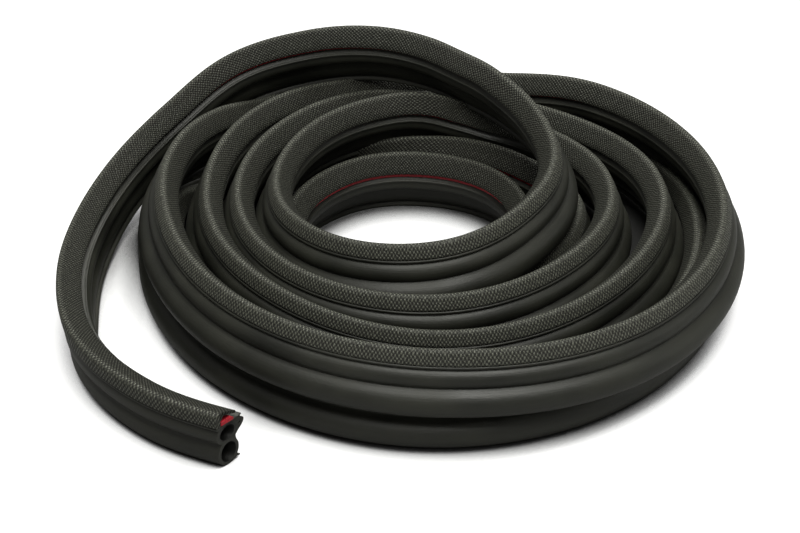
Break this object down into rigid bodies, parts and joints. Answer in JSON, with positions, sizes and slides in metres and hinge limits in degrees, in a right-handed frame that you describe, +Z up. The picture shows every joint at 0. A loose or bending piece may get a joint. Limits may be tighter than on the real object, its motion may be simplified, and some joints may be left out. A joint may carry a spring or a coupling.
{
  "type": "door seal",
  "caption": "Loose hank of extruded rubber door seal with a grained grip cap, a red channel liner, a double hollow bulb and a small hollow lip",
  "frame": {"origin": "middle of the hank's outline seen from above, on the floor that it lies on", "axes": "+Z up from the floor; +X along the hank's longest extent, towards its right side as the picture shows it; +Y away from the picture's viewer"},
  "size_m": [0.3778, 0.3614, 0.0892],
  "materials": {
    "bulb_rubber": "satin black, smooth skin",
    "cap_rubber": "matt black with an embossed grain",
    "liner_rubber": "matt red"
  },
  "bodies": {
    "root": {"double_bulb": "bulb_rubber", "grip_cap": "cap_rubber", "channel_liner": "liner_rubber"}
  },
  "joints": []
}
